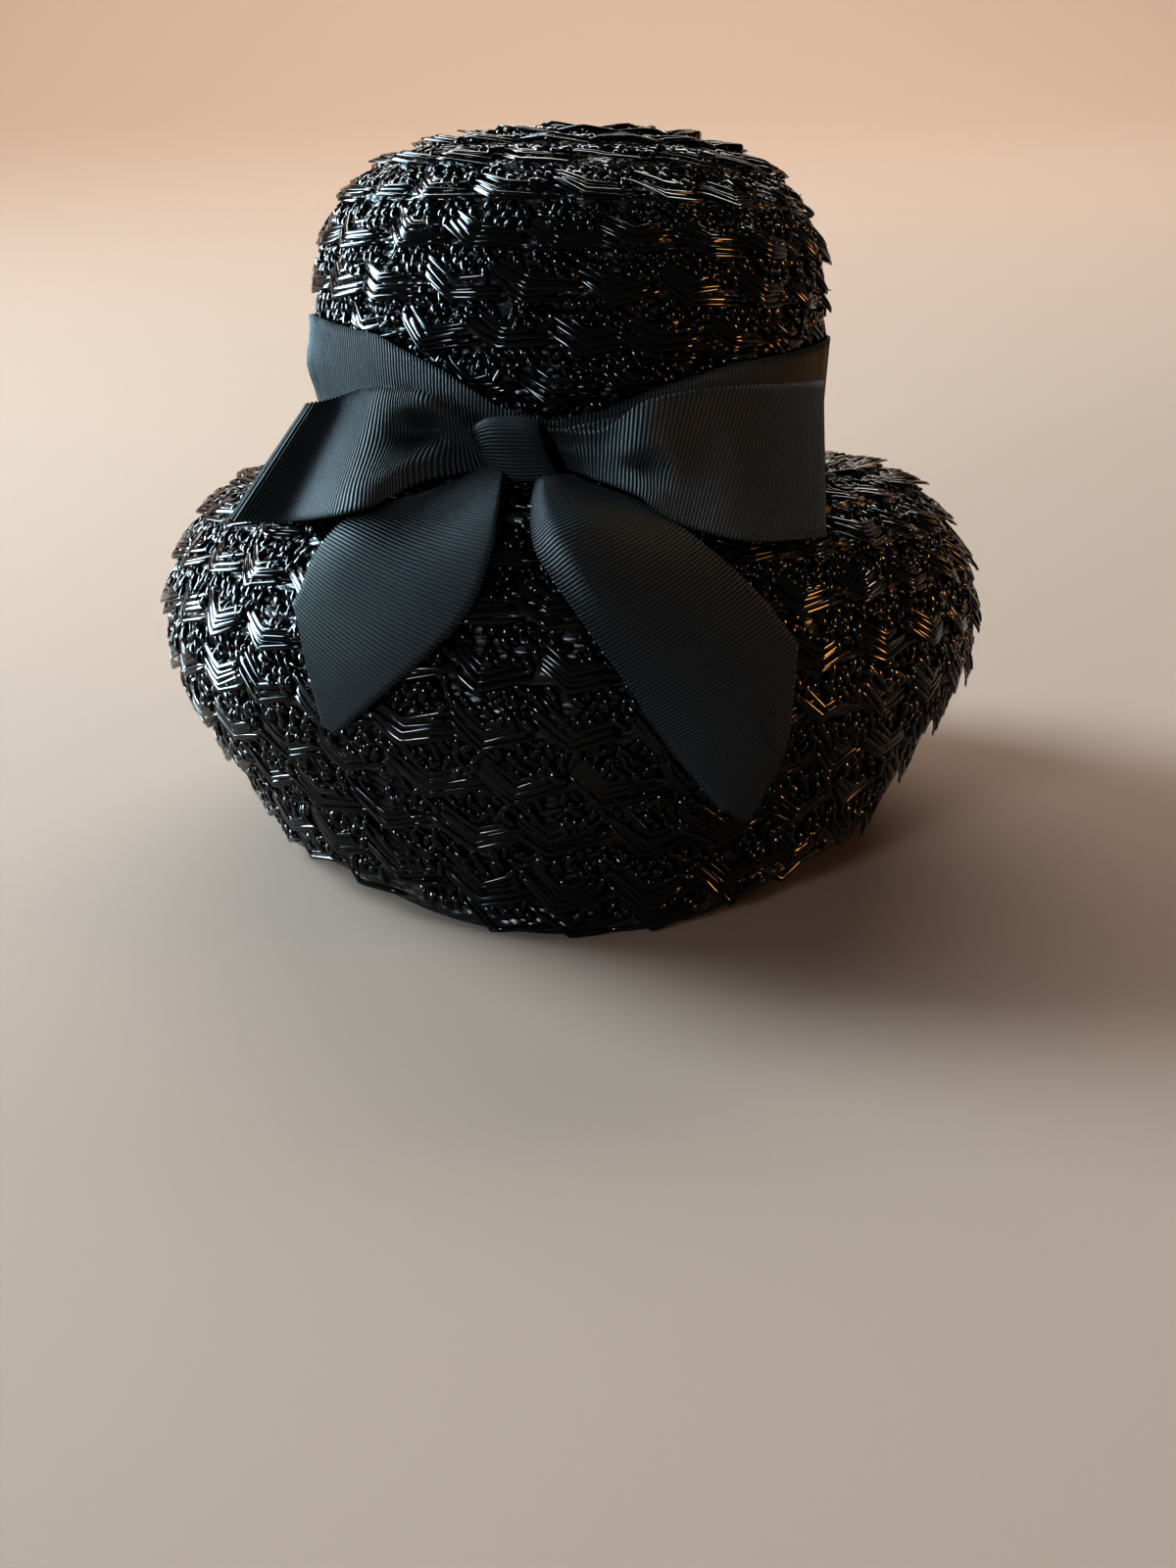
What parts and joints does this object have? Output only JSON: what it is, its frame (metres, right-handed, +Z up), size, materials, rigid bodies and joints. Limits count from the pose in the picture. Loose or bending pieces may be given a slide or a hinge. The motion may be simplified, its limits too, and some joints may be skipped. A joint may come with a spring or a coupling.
{
  "type": "straw hat",
  "caption": "Black sewn-braid straw hat with a tall rounded crown, a mushroom brim that turns in to the rim, and a grosgrain ribbon band tied in a bow at the back.",
  "frame": {"origin": "middle of the hat's outline, on the surface that its rim rests on", "axes": "+Z up from the rim to the crown, +Y to the front of the hat, -Y to the bow at the back, +X to the right as the bow is faced"},
  "size_m": [0.2318, 0.2446, 0.1989],
  "materials": {
    "straw": "glossy black film straw, plaited and sewn in rows",
    "ribbon": "black ribbed grosgrain with a soft sheen"
  },
  "bodies": {
    "root": {"crown": "straw", "brim": "straw", "hat_band": "ribbon", "bow_knot": "ribbon", "bow_loop_left": "ribbon", "bow_loop_right": "ribbon", "bow_tail_left": "ribbon", "bow_tail_right": "ribbon"}
  },
  "joints": []
}
